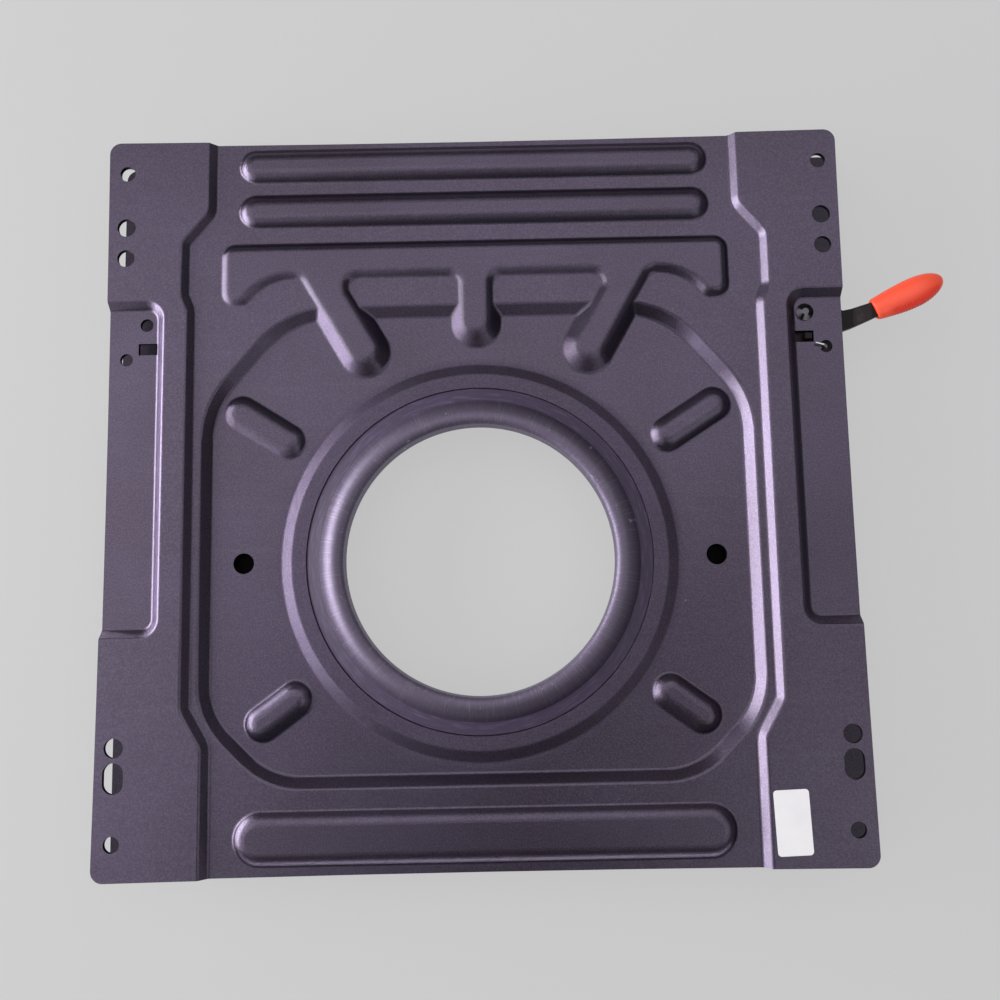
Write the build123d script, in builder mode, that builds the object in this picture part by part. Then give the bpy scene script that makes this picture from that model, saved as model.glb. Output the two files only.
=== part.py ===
"""Swivel seat base: two pressed steel plates turning on a rolled hub ring, with a lever latch."""
import os
from math import acos, atan2, cos, degrees, hypot, radians, sin, sqrt, tan

from build123d import *

os.makedirs("parts", exist_ok=True)

# Sheet and shared fits
sheet = 3.0                 # thickness of both pressed plates
run_gap = 0.05              # running clearance on the hub and the lever pivot
fit_gap = 0.1               # loose clearance round washers and shanks
wall_slope = 45.0           # slope of the pressed walls of the upper plate
bend = 2.5                  # bend radius on the upper side, at the top and foot of a pressed wall
bead_bend = 9.0             # rounder bend along the tops of the straight and radial beads
comb_bend = 6.0             # the same along the top of the comb bead

# Upper plate, steps between its faces
overall_height = 40.0       # floor to the side flanges
field_drop = 4.5            # flanges down to the middle field
panel_drop = 6.0            # field down to the eight-sided panel
pocket_drop = 5.0           # flanges down to the side pockets
bead_rise = 4.0             # straight beads above the field
spoke_rise = 4.5            # radial beads above the panel
crown_rise = 5.0            # ring crown above the panel
seat_drop = 2.0             # ring crown down to the slide ring seat

# Hub ring and slide rings
bore_radius = 80.0
hub_wall = 3.0
lip_height = 5.5
lip_width = 14.0
hub_flange_width = 15.0
slide_ring = 1.5
hub_outer = bore_radius + hub_wall
lip_outer = bore_radius + lip_width
hub_flange_radius = hub_outer + hub_flange_width

# Ring round the hub on the upper plate
seat_width = 7.2            # rim of the rolled lip to the rim of the slide ring's seat
seat_step = 0.6
crown_width = 8.8
ring_run = 7.0              # width of the ring's outer slope
spigot_wall = 1.5
seat_radius = lip_outer + seat_width
ring_crown_radius = seat_radius + crown_width
ring_foot_radius = ring_crown_radius + ring_run

# Upper plate outline, hub axis at the origin
plate_half_width = 220.5
plate_rear = 256.8
plate_front = -177.3
plate_corner = 7.0
edge_bow = 1.3              # the edges are drawn in between the corners

# Straight beads, sizes at their feet
bead_width = 20.4
bead_margin = 18.1          # end of a bead to the side of the field
bead_rear_margin = 15.2
bead_pitch = 28.6
front_bead_width = 29.8
front_bead_margin = 21.5
bead_rear_y = plate_rear - bead_rear_margin
bead_second_y = bead_rear_y - bead_pitch
front_bead_y = plate_front + front_bead_margin

# Eight-sided panel, upper edge
rim_width = 48.1            # side of the plate to the waist of the middle field
field_strip = 8.4           # waist of the field to the side of the panel
panel_rear_margin = 103.8
panel_front_margin = 48.4
rear_cut_width = 50.0
rear_cut_depth = 58.5
front_cut_width = 40.0
front_cut_depth = 39.9
rear_cut_round = 60.0
front_cut_round = 48.0
panel_hole_radius = 6.1
panel_hole_margin = 24.7
field_half_waist = plate_half_width - rim_width
panel_half_width = field_half_waist - field_strip
panel_rear = plate_rear - panel_rear_margin
panel_front = plate_front + panel_front_margin
panel_rear_half = panel_half_width - rear_cut_width
panel_rear_side = panel_rear - rear_cut_depth
panel_front_half = panel_half_width - front_cut_width
panel_front_side = panel_front + front_cut_depth
panel_hole_x = panel_half_width - panel_hole_margin

# Middle field, half widths of its upper edge from rear to front
shoulder_out = 3.9          # shoulder beyond the waist
end_in = 12.0               # rear and front ends within the waist
rear_step_length = 19.0
waist_lead = 8.0            # rear of the panel to the start of the waist
waist_length = 10.0
front_step_lead = 5.5       # front cut of the panel to the start of the front step
front_step_length = 21.0
field_corner = 9.0
field_half_shoulder = field_half_waist + shoulder_out
field_half_rear = field_half_waist - end_in
field_rear_step = bead_second_y
field_rear_step_end = field_rear_step - rear_step_length
field_waist_start = panel_rear + waist_lead
field_waist_end = field_waist_start - waist_length
field_front_step = panel_front_side + front_step_lead
field_front_step_end = field_front_step - front_step_length
bead_half_length = field_half_rear - bead_margin

# Side pockets, upper edge
pocket_width = 34.7
pocket_rear_margin = 99.2
pocket_front_margin = 135.1
pocket_corner = 11.0
pocket_inner = plate_half_width - pocket_width
pocket_rear = plate_rear - pocket_rear_margin
pocket_front = plate_front + pocket_front_margin

# Comb bead, sizes at its foot
comb_slope = 52.0           # its walls are steeper
comb_margin = 23.9          # end of the bar to the shoulder of the field
comb_gap = 20.8             # middle of the second bead to the rear of the bar
bar_width = 21.6
lobe_reach = 16.0
lobe_width = 14.4
lobe_sweep = 28.0
comb_corner = 8.0
finger_half_width = 15.4
finger_root_in = 10.9       # start of the lobe's sweep to the middle of a finger's root
finger_root_drop = 11.2
finger_tip_gap = 10.5       # foot of the ring to a finger's tip
finger_lean = 60.04
mid_finger_half_width = 15.0
finger_corner = 9.2
comb_half_length = field_half_shoulder - comb_margin
comb_rear = bead_second_y - comb_gap
comb_front = comb_rear - bar_width
comb_lobe_front = comb_front - lobe_reach
comb_lobe_inner = comb_half_length - lobe_width
comb_lobe_start = comb_lobe_inner - lobe_sweep
finger_root_x = comb_lobe_start - finger_root_in
finger_root_y = comb_rear - finger_root_drop
finger_tip_radius = ring_foot_radius + finger_tip_gap + finger_half_width
finger_run = finger_root_x * cos(radians(finger_lean)) + finger_root_y * sin(radians(finger_lean))
finger_reach = finger_run - sqrt(finger_tip_radius ** 2 + finger_run ** 2
                                 - finger_root_x ** 2 - finger_root_y ** 2)
finger_middle_x = finger_root_x - finger_reach / 2 * cos(radians(finger_lean))
finger_middle_y = finger_root_y - finger_reach / 2 * sin(radians(finger_lean))
mid_finger_tip_y = ring_foot_radius + finger_tip_gap + mid_finger_half_width

# Radial beads on the panel, sizes at their feet
spoke_width = 21.0
spoke_gap = 7.0             # foot of the ring to the near end of a bead
rear_spoke_angle = 32.5
rear_spoke_gap = 10.4       # far end of a bead to the cut corner of the panel
front_spoke_angle = 36.0
front_spoke_gap = 13.1
spoke_inner = ring_foot_radius + spoke_gap

# Bolt holes in the side flanges of both plates
bolt_margin = 11.3
pilot_radius = 4.6
pilot_rear_margin = 19.8
pilot_front_margin = 20.8
bolt_radius = 5.5
bolt_rear_margin = 53.7
bolt_front_margin = 73.7
second_radius = 5.2
second_rear_margin = 72.8
slot_margin = 56.9
slot_width = 11.8
slot_length = 17.4
bolt_x = plate_half_width - bolt_margin
pilot_rear_y = plate_rear - pilot_rear_margin
pilot_front_y = plate_front + pilot_front_margin
bolt_rear_y = plate_rear - bolt_rear_margin
bolt_front_y = plate_front + bolt_front_margin
second_rear_y = plate_rear - second_rear_margin
slot_y = plate_front + slot_margin

# Latch openings in each pocket
pivot_margin = 23.1         # side of the plate to the lever's pivot
pivot_gap = 13.8            # rear of the pocket to the lever's pivot
tab_slot_in = 1.0
tab_slot_reach = 14.8
tab_slot_length = 11.4
tab_slot_width = 7.0
anchor_out = 11.8
anchor_reach = 21.1
anchor_radius = 3.8
pivot_x = plate_half_width - pivot_margin
pivot_y = pocket_rear - pivot_gap
tab_slot_x = pivot_x - tab_slot_in
tab_slot_y = pivot_y - tab_slot_reach
anchor_x = pivot_x + anchor_out
anchor_y = pivot_y - anchor_reach

# Pivot rivet and washers
rivet_shank_radius = 3.8
rivet_sleeve_radius = 6.0
rivet_head_radius = 5.2
rivet_head = 2.2
rivet_head_slope = 3.2      # how far the sloped edge of the head reaches in
rivet_head_edge = 1.4       # how far it reaches down
rivet_foot_radius = 9.0
rivet_foot = 2.6
rivet_foot_edge = 0.5
washer_radius = 10.0
washer = 1.0

# Lever
lever_sheet = 4.0
lever_eye_radius = 14.0
arm_exit_gap = 1.5          # side of the plate to the straight part of the handle arm
arm_exit_rise = 1.8
arm_exit_width = 12.4
arm_crank_gap = 5.0
arm_crank_run = 10.0
arm_crank_rise = 2.8
arm_crank_width = 10.0
arm_rise = 6.0
arm_reach = 37.0
arm_sweep = 15.6
arm_tip_width = 8.4
latch_arm_in = 6.0
tooth_out = 2.0
tooth_reach = 85.0
tooth_width = 14.0
tooth_foot = 13.0
tab_out = 2.2               # middle of the slot to the tab at rest
tab_length = 4.0
tab_width = 3.4
tab_above = 1.6
arm_exit_x = plate_half_width + arm_exit_gap
arm_rise_start = arm_exit_x + arm_crank_gap
arm_rise_end = arm_rise_start + arm_crank_run
arm_tip_x = arm_rise_end + arm_reach
arm_exit_rear = pivot_y + arm_exit_rise
arm_exit_front = arm_exit_rear - arm_exit_width
arm_rise_end_rear = arm_exit_rear + arm_crank_rise
arm_rise_end_front = arm_rise_end_rear - arm_crank_width
arm_tip_rear = arm_rise_end_rear + arm_sweep
arm_tip_front = arm_tip_rear - arm_tip_width
latch_arm_inner = pivot_x - latch_arm_in
tooth_inner = pivot_x + tooth_out
tooth_y = pivot_y - tooth_reach
tab_x = tab_slot_x + tab_out

# Lower plate
lower_reach = 6.5           # how far its sides stand out from under the upper plate
lower_shift = 3.0           # it sits towards the lever side
table_gap = 2.5             # top of the table to the underside of the panel
table_margin = 6.3          # front of the plate to the foot of the table
table_slope = 45.0
band_gap = 9.4              # tooth at rest to the side of the latch band
band_end = 12.6             # middle of a notch to the end of the band
band_corner = 34.0
band_slope = 60.0
notch_depth = 12.0
notch_width = 19.0
notch_shift = 0.6           # the tooth swings forward as it comes in
notch_sill = 8.0
lower_half_width = plate_half_width + lower_reach
band_half_width = tooth_inner - band_gap
notch_inner = band_half_width - notch_depth
notch_y = tooth_y + notch_shift
band_half_depth = notch_y + band_end

# Grip
grip_setback = 2.9          # crank of the arm to the root of the grip
grip_length = 45.6
grip_root_half = 6.4
grip_half_width = 9.0
grip_widest = 23.0
grip_tip_half = 6.9
grip_tip_round = 6.0
grip_side_round = 40.0
grip_half_thickness = 5.6
grip_edge = 3.4             # width of its sloped edges
grip_edge_drop = 2.6        # height of its sloped edges

# Return spring
wire = 2.0
wire_sides = 8              # flats that stand for the round wire
loop_radius = 6.6
leg_bend = 2.0
hook_reach = 7.0
hook_in = 6.7
hook_back = 1.8
pin_reach = 31.8
hook_x = anchor_x - hook_in
hook_y = anchor_y + hook_back
pin_y = pivot_y - pin_reach

# Label
label_margin = 47.7
label_front_margin = 25.5
label_width = 20.0
label_length = 36.0
label_turn = 1.8
label_thickness = 0.2
label_corner = 2.0
label_x = plate_half_width - label_margin
label_y = plate_front + label_front_margin

# Levels that follow from the sizes above
field_top = overall_height - field_drop
panel_top = field_top - panel_drop
pocket_top = overall_height - pocket_drop
bead_top = field_top + bead_rise
spoke_top = panel_top + spoke_rise
crown_top = panel_top + crown_rise
seat_top = crown_top - seat_drop
spigot_bore = hub_outer + run_gap
upper_bore = spigot_bore + spigot_wall
lower_seat_top = seat_top - sheet - run_gap - slide_ring
lip_foot = seat_top + slide_ring + run_gap
washer_top = pocket_top - sheet
sleeve_top = washer_top - washer
lever_top = sleeve_top - run_gap
lever_bottom = lever_top - lever_sheet
sleeve_bottom = lever_bottom - run_gap
low_washer_bottom = sleeve_bottom - washer
table_height = panel_top - sheet - table_gap
table_run = (table_height - sheet) / tan(radians(table_slope))
table_radius = -plate_front - table_run - table_margin
plate_middle = (plate_rear + plate_front) / 2
plate_depth = plate_rear - plate_front
block_base = -30.0          # underside of the solid blocks the plates are cut from


def at_level(part, level, keep):
    """Horizontal edges of a part at one height whose middle point passes the test."""
    return [e for e in part.edges() if abs(e.center().Z - level) < 0.01
            and e.bounding_box().size.Z < 0.01 and keep(e.center().X, e.center().Y)]


def soften(edges, drop, radius=bend):
    """Rounds the bends of a top face; the underside of the sheet keeps plain creases."""
    if drop == 0:
        fillet(edges, radius=radius)


def cut_reach(angle, width, depth, side):
    """Distance from the hub axis to a cut corner of the panel, along a direction."""
    turn = radians(angle)
    return (depth * panel_half_width + width * side) / (depth * cos(turn) + width * sin(turn))


def press_form(drop):
    """Solid below one face of the upper plate; drop is how far that face lies below the top face."""
    flange, field, panel = overall_height - drop, field_top - drop, panel_top - drop
    pocket, top = pocket_top - drop, bead_top - drop
    grow = drop * tan(radians(wall_slope / 2))
    taper = 90 - wall_slope
    beyond = plate_half_width
    with BuildPart() as form:
        with BuildSketch(Plane.XY.offset(block_base)):
            with BuildLine():
                ThreePointArc((-plate_half_width, plate_front), (0, plate_front + edge_bow),
                              (plate_half_width, plate_front))
                ThreePointArc((plate_half_width, plate_front), (plate_half_width - edge_bow, plate_middle),
                              (plate_half_width, plate_rear))
                ThreePointArc((plate_half_width, plate_rear), (0, plate_rear - edge_bow),
                              (-plate_half_width, plate_rear))
                ThreePointArc((-plate_half_width, plate_rear), (edge_bow - plate_half_width, plate_middle),
                              (-plate_half_width, plate_front))
            make_face()
            fillet(vertices(), radius=plate_corner)
        extrude(amount=flange - block_base)

        # Middle field, open to the rear and front edges
        side = [(field_half_rear, field_rear_step), (field_half_shoulder, field_rear_step_end),
                (field_half_shoulder, field_waist_start), (field_half_waist, field_waist_end),
                (field_half_waist, field_front_step), (field_half_rear, field_front_step_end)]
        with BuildSketch(Plane.XY.offset(flange)):
            with BuildLine():
                Polyline([(field_half_rear, plate_rear + beyond)] + side
                         + [(field_half_rear, plate_front - beyond),
                            (-field_half_rear, plate_front - beyond)]
                         + [(-x, y) for x, y in reversed(side)]
                         + [(-field_half_rear, plate_rear + beyond)], close=True)
            make_face()
            fillet(vertices(), radius=field_corner)
            if grow:
                offset(amount=grow)
        extrude(amount=-field_drop, taper=taper, mode=Mode.SUBTRACT)
        soften(at_level(form, flange, lambda x, y: field_half_rear / 2 < abs(x)
                        < field_half_shoulder + grow + 1), drop)
        soften(at_level(form, field, lambda x, y: abs(x) > field_half_rear / 2), drop)

        # Eight-sided panel
        with BuildSketch(Plane.XY.offset(field)) as panel_plan:
            with BuildLine():
                Polyline([(panel_half_width, panel_front_side), (panel_half_width, panel_rear_side),
                          (panel_rear_half, panel_rear), (-panel_rear_half, panel_rear),
                          (-panel_half_width, panel_rear_side), (-panel_half_width, panel_front_side),
                          (-panel_front_half, panel_front), (panel_front_half, panel_front)], close=True)
            make_face()
            fillet([v for v in panel_plan.vertices() if v.Y > 0], radius=rear_cut_round)
            fillet(panel_plan.vertices().group_by(Axis.Y)[0] + panel_plan.vertices().group_by(Axis.Y)[1],
                   radius=front_cut_round)
            if grow:
                offset(amount=grow)
        extrude(amount=-panel_drop, taper=taper, mode=Mode.SUBTRACT)
        soften(at_level(form, field, lambda x, y: abs(x) < panel_half_width + grow + 1
                        and panel_front - grow - 1 < y < panel_rear + grow + 1), drop)
        soften(at_level(form, panel, lambda x, y: True), drop)

        # Side pockets, open to the side edges
        depth = pocket_rear - pocket_front
        for hand in (1, -1):
            with BuildSketch(Plane.XY.offset(flange)):
                with Locations((hand * (pocket_inner + beyond / 2), pocket_front + depth / 2)):
                    RectangleRounded(beyond + 2 * grow, depth + 2 * grow, pocket_corner + grow)
            extrude(amount=-pocket_drop, taper=taper, mode=Mode.SUBTRACT)
        for level in (flange, pocket):
            soften(at_level(form, level, lambda x, y: pocket_inner - grow - 1 < abs(x)
                            < plate_half_width - 2 * edge_bow
                            and pocket_front - grow - 1 < y < pocket_rear + grow + 1), drop)

        # Straight beads, each spreading from a flat top down into the field
        inset = bead_rise / tan(radians(wall_slope)) + grow
        for middle, width in ((bead_rear_y, bead_width), (bead_second_y, bead_width),
                              (front_bead_y, front_bead_width)):
            with BuildPart(mode=Mode.PRIVATE) as bead:
                with BuildSketch(Plane.XY.offset(top)):
                    with Locations((0, middle)):
                        SlotOverall(2 * (bead_half_length - inset), width - 2 * inset)
                extrude(amount=-bead_rise - 1, taper=-taper)
                soften(bead.faces().sort_by(Axis.Z)[-1].edges(), drop, bead_bend)
            bare = form.part
            add(bead.part)
            soften(new_edges(bare, bead.part, combined=form.part), drop)

        # Comb bead: a cross bar with end lobes and three fingers reaching down into the panel
        comb_grow = drop * tan(radians(comb_slope / 2))
        inset = bead_rise / tan(radians(comb_slope)) + comb_grow
        finger_inset = (bead_rise + panel_drop) / tan(radians(comb_slope)) + comb_grow
        half, mid_half = finger_half_width - finger_inset, mid_finger_half_width - finger_inset
        fingers = [((0, (finger_root_y + mid_finger_tip_y) / 2), finger_root_y - mid_finger_tip_y,
                    mid_half, 90)]
        for hand in (1, -1):
            fingers.append(((hand * finger_middle_x, finger_middle_y), finger_reach, half,
                            hand * finger_lean))
        with BuildPart(mode=Mode.PRIVATE) as comb:
            with BuildSketch(Plane.XY.offset(top)) as comb_top:
                with BuildLine():
                    for hand in (1, -1):
                        Polyline((0, comb_rear), (hand * comb_half_length, comb_rear),
                                 (hand * comb_half_length, comb_lobe_front),
                                 (hand * comb_lobe_inner, comb_lobe_front))
                        TangentArc((hand * comb_lobe_start, comb_front),
                                   (hand * comb_lobe_inner, comb_lobe_front), tangent=(hand, 0))
                        Line((hand * comb_lobe_start, comb_front), (0, comb_front))
                make_face()
                fillet([v for v in comb_top.vertices() if abs(v.X) > comb_lobe_start + 1],
                       radius=comb_corner)
                offset(amount=-inset)
                for middle, length, finger, angle in fingers:
                    with Locations(middle):
                        SlotCenterToCenter(length, 2 * finger, rotation=angle)
                fillet([v for v in comb_top.vertices() if abs(v.Y - comb_front - inset) < 0.01
                        and 1 < abs(v.X) < comb_lobe_start - 1], radius=finger_corner)
            extrude(amount=-bead_rise - panel_drop - 1, taper=comb_slope - 90)
            soften(comb.faces().sort_by(Axis.Z)[-1].edges(), drop, comb_bend)
        bare = form.part
        add(comb.part)
        soften(new_edges(bare, comb.part, combined=form.part), drop)

        # Radial beads
        inset = spoke_rise / tan(radians(wall_slope)) + grow
        rear_spoke_outer = cut_reach(rear_spoke_angle, rear_cut_width, rear_cut_depth,
                                     panel_rear_side) - rear_spoke_gap
        front_spoke_outer = cut_reach(front_spoke_angle, front_cut_width, front_cut_depth,
                                      -panel_front_side) - front_spoke_gap
        for angle, outer in ((rear_spoke_angle, rear_spoke_outer),
                             (180 - rear_spoke_angle, rear_spoke_outer),
                             (-front_spoke_angle, front_spoke_outer),
                             (front_spoke_angle - 180, front_spoke_outer)):
            middle = (spoke_inner + outer) / 2
            with BuildPart(mode=Mode.PRIVATE) as spoke:
                with BuildSketch(Plane.XY.offset(spoke_top - drop)):
                    with Locations((middle * cos(radians(angle)), middle * sin(radians(angle)))):
                        SlotOverall(outer - spoke_inner - 2 * inset, spoke_width - 2 * inset,
                                    rotation=angle)
                extrude(amount=-spoke_rise - 1, taper=-taper)
                soften(spoke.faces().sort_by(Axis.Z)[-1].edges(), drop, bead_bend)
            bare = form.part
            add(spoke.part)
            soften(new_edges(bare, spoke.part, combined=form.part), drop)

        # Ring round the hub with the stepped seat of the slide ring
        crown, seat = crown_top - drop, seat_top - drop
        ring_grow = drop * tan(atan2(crown_rise, ring_run) / 2)
        with BuildSketch(Plane.XZ):
            with BuildLine():
                Polyline((0, panel - crown_rise),
                         (ring_foot_radius - ring_grow + ring_run, panel - crown_rise),
                         (ring_crown_radius - ring_grow, crown), (seat_radius + seat_step + drop, crown),
                         (seat_radius + drop, seat), (0, seat), close=True)
            make_face()
        revolve(axis=Axis.Z)
        soften([e for e in form.edges().filter_by(GeomType.CIRCLE)
                if hypot(e.arc_center.X, e.arc_center.Y) < 0.01
                and e.radius > ring_crown_radius - ring_grow - 1], drop)
    return form


def floor_form(drop):
    """Solid below one face of the lower plate; drop is how far that face lies below the top face."""
    flange, table, seat = sheet - drop, table_height - drop, lower_seat_top - drop
    table_grow = drop * tan(radians(table_slope / 2))
    band_grow = drop * tan(radians(band_slope / 2))
    with BuildPart() as form:
        with BuildSketch(Plane.XY.offset(block_base)):
            with Locations((lower_shift, plate_middle)):
                RectangleRounded(2 * lower_half_width, plate_depth, plate_corner)
        extrude(amount=flange - block_base)
        with BuildPart(mode=Mode.PRIVATE) as raised:
            with BuildSketch(Plane.XY.offset(table)):
                Circle(table_radius - table_grow)
            extrude(amount=flange - table - 1, taper=table_slope - 90)
            with BuildSketch(Plane.XY.offset(table)):
                RectangleRounded(2 * (band_half_width - band_grow), 2 * (band_half_depth - band_grow),
                                 band_corner - band_grow)
            extrude(amount=flange - table - 1, taper=band_slope - 90)
        add(raised.part)
        soften(at_level(form, table, lambda x, y: True), drop)
        rise = seat - table
        with BuildSketch(Plane.XY.offset(seat)):
            Circle(seat_radius - table_grow)
        extrude(amount=-rise - 1, taper=table_slope - 90)
    return form


# Upper plate: one pressing with side flanges, pockets, beads, panel and hub ring seat
top_form = press_form(0)
under_form = press_form(sheet)
with BuildPart() as upper_plate:
    add(top_form.part)
    add(under_form.part, mode=Mode.SUBTRACT)
    with BuildSketch(Plane.XY.offset(overall_height)):
        Circle(upper_bore)
        for hand in (1, -1):
            with Locations((hand * bolt_x, pilot_rear_y), (hand * bolt_x, pilot_front_y)):
                Circle(pilot_radius)
            with Locations((hand * bolt_x, bolt_rear_y), (hand * bolt_x, bolt_front_y)):
                Circle(bolt_radius)
            with Locations((hand * bolt_x, second_rear_y)):
                Circle(second_radius)
            with Locations((hand * bolt_x, slot_y)):
                SlotOverall(slot_length, slot_width, rotation=90)
            with Locations((hand * panel_hole_x, 0)):
                Circle(panel_hole_radius)
            with Locations((hand * pivot_x, pivot_y)):
                Circle(rivet_shank_radius + fit_gap)
            with Locations((hand * anchor_x, anchor_y)):
                Circle(anchor_radius)
            with Locations((hand * tab_slot_x, tab_slot_y)):
                Rectangle(tab_slot_length, tab_slot_width)
    extrude(amount=-overall_height, mode=Mode.SUBTRACT)
upper_plate.part.label = "upper_plate"
export_step(upper_plate.part, "parts/upper_plate.step")

# Lower plate: one pressing with a raised table, a latch band with four notches and floor flanges
floor_top = floor_form(0)
floor_under = floor_form(sheet)
with BuildPart() as lower_plate:
    add(floor_top.part)
    add(floor_under.part, mode=Mode.SUBTRACT)
    with BuildSketch(Plane.XY.offset(overall_height)):
        Circle(hub_outer)
        for hand in (1, -1):
            with Locations((hand * bolt_x, bolt_rear_y), (hand * bolt_x, bolt_front_y)):
                Circle(bolt_radius)
    extrude(amount=-overall_height, mode=Mode.SUBTRACT)
    with BuildSketch(Plane.XY.offset(notch_sill)):
        for hand in (1, -1):
            with Locations((hand * (notch_inner + lower_half_width) / 2, notch_y),
                           (hand * (notch_inner + lower_half_width) / 2, -notch_y)):
                Rectangle(lower_half_width - notch_inner, notch_width)
    extrude(amount=table_height, mode=Mode.SUBTRACT)
lower_plate.part.label = "lower_plate"
export_step(lower_plate.part, "parts/lower_plate.step")

# Hub ring: flange under the lower plate, plain bore and a lip rolled over the upper plate
lip_middle = bore_radius + lip_width / 2
flange_top = lower_seat_top - sheet
with BuildPart() as hub_ring:
    with BuildSketch(Plane.XZ):
        with BuildLine():
            ThreePointArc((bore_radius, lip_foot), (lip_middle, lip_foot + lip_height),
                          (lip_outer, lip_foot))
            Polyline((lip_outer, lip_foot), (lip_outer - hub_wall, lip_foot),
                     (lip_middle, lip_foot + lip_height - hub_wall), (hub_outer, lip_foot),
                     (hub_outer, flange_top), (hub_flange_radius, flange_top),
                     (hub_flange_radius, flange_top - hub_wall),
                     (bore_radius, flange_top - hub_wall), (bore_radius, lip_foot))
        make_face()
    revolve(axis=Axis.Z)
hub_ring.part.label = "hub_ring"
export_step(hub_ring.part, "parts/hub_ring.step")

# Slide rings above and below the upper plate
with BuildPart() as upper_slide_ring:
    with BuildSketch(Plane.XY.offset(seat_top)):
        Circle(seat_radius - fit_gap)
        Circle(spigot_bore, mode=Mode.SUBTRACT)
    extrude(amount=slide_ring)
    with BuildSketch(Plane.XY.offset(seat_top)):
        Circle(upper_bore)
        Circle(spigot_bore, mode=Mode.SUBTRACT)
    extrude(amount=-sheet)
upper_slide_ring.part.label = "upper_slide_ring"
export_step(upper_slide_ring.part, "parts/upper_slide_ring.step")

with BuildPart() as lower_slide_ring:
    with BuildSketch(Plane.XY.offset(lower_seat_top)):
        Circle(seat_radius - fit_gap - sheet)
        Circle(hub_outer, mode=Mode.SUBTRACT)
    extrude(amount=slide_ring)
lower_slide_ring.part.label = "lower_slide_ring"
export_step(lower_slide_ring.part, "parts/lower_slide_ring.step")

# Pivot rivet: head on the pocket floor, sleeve for the lever, shank through the spring loop
foot_top = low_washer_bottom - wire - run_gap
with BuildPart() as pivot_rivet:
    for radius, low, high in ((rivet_head_radius, pocket_top, pocket_top + rivet_head),
                              (rivet_shank_radius, foot_top, pocket_top),
                              (rivet_sleeve_radius, sleeve_bottom, sleeve_top),
                              (rivet_foot_radius, foot_top - rivet_foot, foot_top)):
        with BuildSketch(Plane.XY.offset(low)):
            with Locations((pivot_x, pivot_y)):
                Circle(radius)
        extrude(amount=high - low)
    chamfer(pivot_rivet.edges().sort_by(Axis.Z)[-1], length=rivet_head_slope, length2=rivet_head_edge,
            reference=pivot_rivet.faces().sort_by(Axis.Z)[-1])
    chamfer(pivot_rivet.edges().sort_by(Axis.Z)[0], length=rivet_foot_edge)
pivot_rivet.part.label = "pivot_rivet"
export_step(pivot_rivet.part, "parts/pivot_rivet.step")

with BuildPart() as upper_washer:
    with BuildSketch(Plane.XY.offset(sleeve_top)):
        with Locations((pivot_x, pivot_y)):
            Circle(washer_radius)
            Circle(rivet_shank_radius + fit_gap, mode=Mode.SUBTRACT)
    extrude(amount=washer)
upper_washer.part.label = "upper_washer"
export_step(upper_washer.part, "parts/upper_washer.step")

with BuildPart() as lower_washer:
    with BuildSketch(Plane.XY.offset(low_washer_bottom)):
        with Locations((pivot_x, pivot_y)):
            Circle(washer_radius)
            Circle(rivet_shank_radius + fit_gap, mode=Mode.SUBTRACT)
    extrude(amount=washer)
lower_washer.part.label = "lower_washer"
export_step(lower_washer.part, "parts/lower_washer.step")

# Lever: flat strip with an eye, a cranked handle arm, a latch arm with a tooth and a guide tab
latch_arm_outer = tooth_inner + lever_sheet
with BuildPart() as lever:
    with BuildSketch(Plane.XY.offset(lever_bottom)) as lever_plan:
        with Locations((pivot_x, pivot_y)):
            Circle(lever_eye_radius)
        with BuildLine():
            Polyline((latch_arm_inner, pivot_y), (latch_arm_outer, pivot_y),
                     (latch_arm_outer, tooth_y - tooth_width / 2),
                     (latch_arm_inner, tooth_y - tooth_width / 2), close=True)
        make_face()
        with BuildLine():
            Polyline((pivot_x, pivot_y + lever_eye_radius * cos(radians(20))),
                     (arm_exit_x, arm_exit_rear), (arm_rise_end, arm_rise_end_rear),
                     (arm_tip_x, arm_tip_rear), (arm_tip_x, arm_tip_front),
                     (arm_rise_end, arm_rise_end_front), (arm_exit_x, arm_exit_front),
                     (pivot_x, pivot_y - lever_eye_radius * cos(radians(20))), close=True)
        make_face()
    extrude(amount=lever_sheet + arm_rise)
    with BuildSketch(Plane.XZ):
        with BuildLine():
            Polyline((0, lever_bottom), (arm_rise_start, lever_bottom),
                     (arm_rise_end, lever_bottom + arm_rise), (arm_tip_x + 1, lever_bottom + arm_rise),
                     (arm_tip_x + 1, lever_top + arm_rise), (arm_rise_end, lever_top + arm_rise),
                     (arm_rise_start, lever_top), (0, lever_top), close=True)
        make_face()
    extrude(amount=-2 * pivot_y, mode=Mode.INTERSECT)
    with BuildSketch(Plane.XY.offset(lever_top)):
        with Locations(((tooth_inner + latch_arm_outer) / 2, tooth_y)):
            Rectangle(lever_sheet, tooth_width)
    extrude(amount=tooth_foot - lever_top)
    with BuildSketch(Plane.XY.offset(lever_top)):
        with Locations((tab_x, tab_slot_y)):
            Rectangle(tab_length, tab_width)
    extrude(amount=pocket_top + tab_above - lever_top)
    with Locations((pivot_x, pivot_y, lever_top)):
        Hole(radius=rivet_sleeve_radius + run_gap)
lever.part.label = "lever"
export_step(lever.part, "parts/lever.step")

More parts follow.
